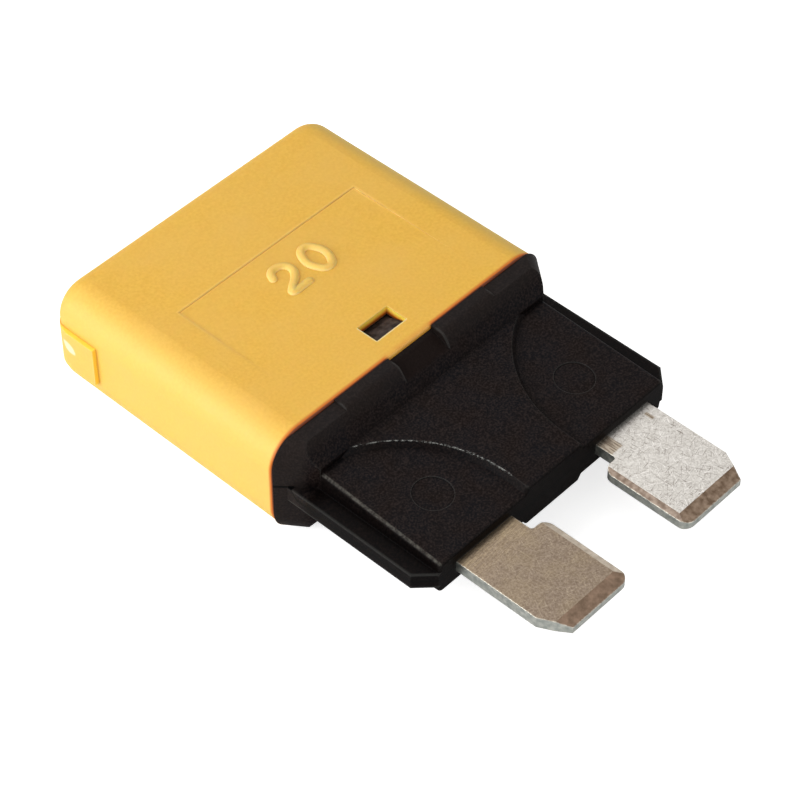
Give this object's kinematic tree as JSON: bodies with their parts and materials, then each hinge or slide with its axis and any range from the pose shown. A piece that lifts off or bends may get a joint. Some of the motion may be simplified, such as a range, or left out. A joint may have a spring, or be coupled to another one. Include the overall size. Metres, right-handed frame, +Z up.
{
  "type": "blade circuit breaker",
  "caption": "Plug-in blade circuit breaker of standard blade fuse size: a moulded cover over a base with flat blade terminals and a bimetal switch inside.",
  "frame": {"origin": "under the middle of the breaker's box as it lies on its broad face", "axes": "+X from one blade to the other, -Y the way the blades point, +Z up through the thickness"},
  "size_m": [0.021, 0.0336, 0.0068],
  "materials": {
    "yellow_cover": "moulded thermoplastic with a fine spark-eroded texture",
    "black_base": "moulded black thermoset, slightly speckled",
    "tin_plate": "stamped brass with tin plating, brushed and lightly scratched",
    "bimetal": "rolled strip",
    "silver_contact": "silver alloy rivet contact",
    "rivet": "plain brass"
  },
  "bodies": {
    "root": {"cover": "yellow_cover", "base": "black_base", "fixed_terminal": "tin_plate", "bimetal_terminal": "tin_plate", "bimetal_strip": "bimetal", "fixed_contact": "silver_contact", "moving_contact": "silver_contact", "bimetal_rivet": "rivet"}
  },
  "joints": []
}
